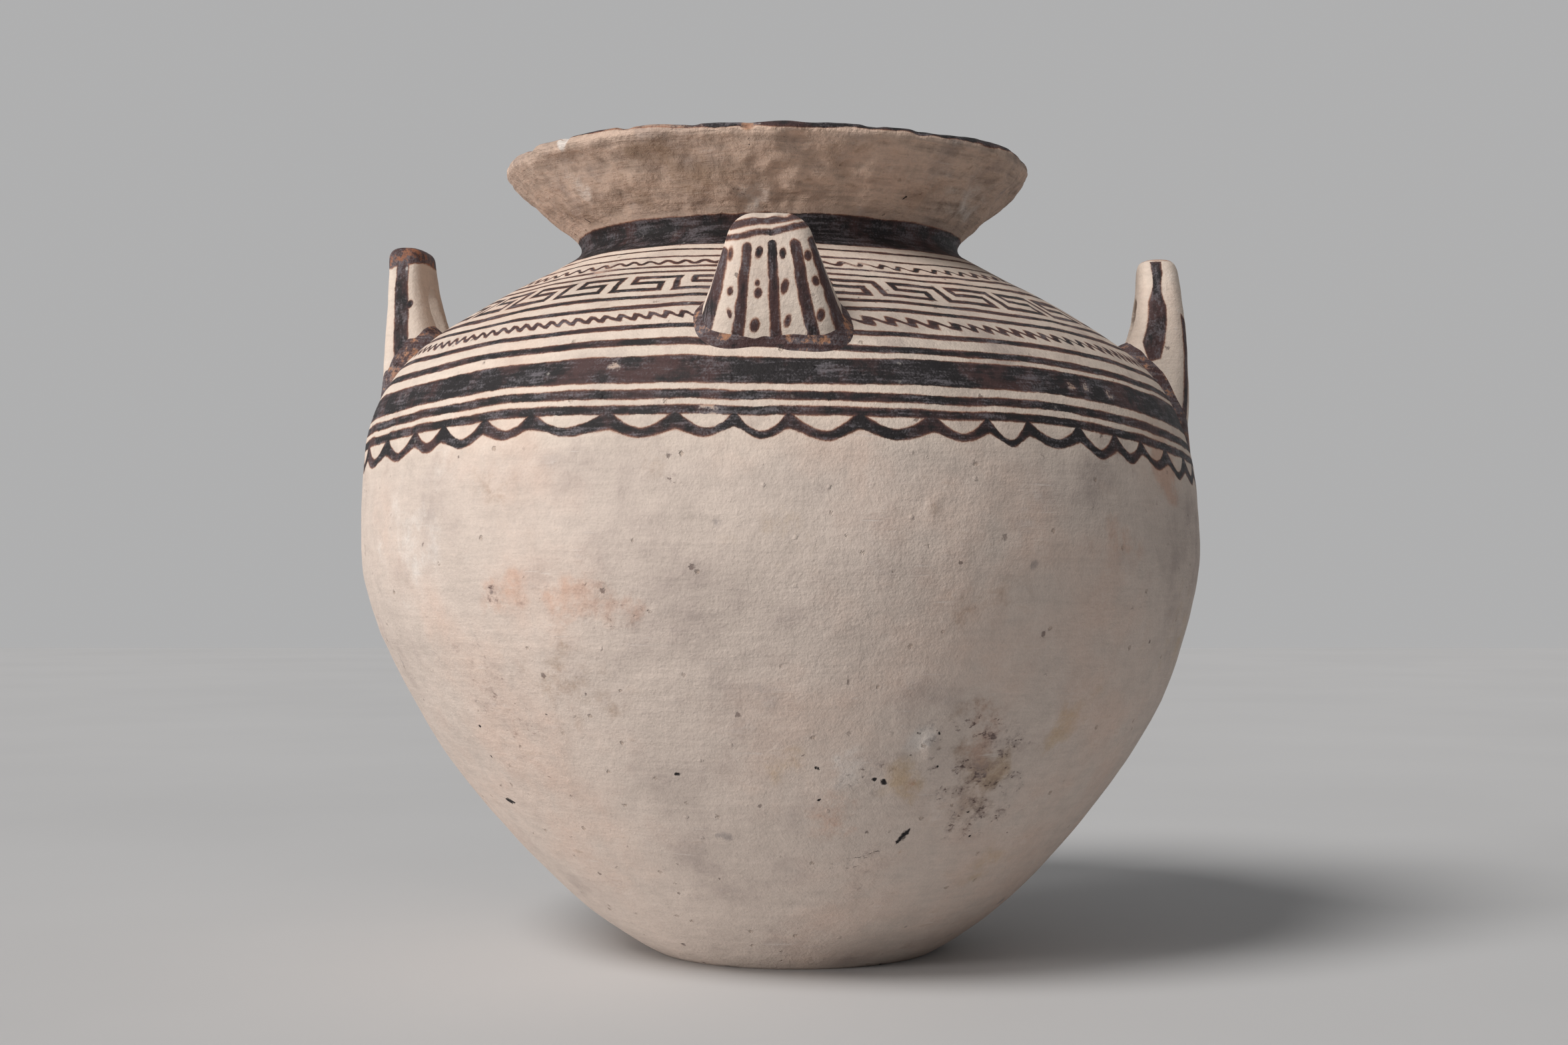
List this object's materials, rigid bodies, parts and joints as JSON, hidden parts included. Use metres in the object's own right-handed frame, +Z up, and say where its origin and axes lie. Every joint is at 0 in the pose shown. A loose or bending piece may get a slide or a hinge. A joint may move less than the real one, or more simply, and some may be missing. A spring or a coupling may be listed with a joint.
{
  "type": "krater",
  "caption": "Hand-built clay mixing bowl: round belly on a small flat base, short neck, flaring funnel mouth, stirrup handles and solid tabs on the shoulder, dark painted bands.",
  "frame": {"origin": "on the ground under the base, below the centre of the belly", "axes": "+Z up; the front tab faces -Y; the left handle, seen from the front, is at -X"},
  "size_m": [0.38, 0.38, 0.3554],
  "materials": {
    "bare_clay": "matt fired clay, smoothed by hand, with pits and stains",
    "cream_slip": "matt cream slip over fired clay, with dark painted lines",
    "dark_paint": "matt brown-black paint, worn and streaky",
    "worn_paint": "matt brown paint worn to the clay"
  },
  "bodies": {
    "root": {"base_disc": "bare_clay", "lower_wall": "bare_clay", "belly_wall": "bare_clay", "shoulder_wall": "cream_slip", "neck_collar": "dark_paint", "funnel_mouth": "cream_slip", "lip_coil": "dark_paint", "left_handle": "cream_slip", "left_handle_front_coil": "worn_paint", "left_handle_rear_coil": "worn_paint", "right_handle": "cream_slip", "right_handle_front_coil": "worn_paint", "right_handle_rear_coil": "worn_paint", "front_tab": "cream_slip", "front_tab_coil": "worn_paint", "rear_tab": "cream_slip", "rear_tab_coil": "worn_paint"}
  },
  "joints": []
}
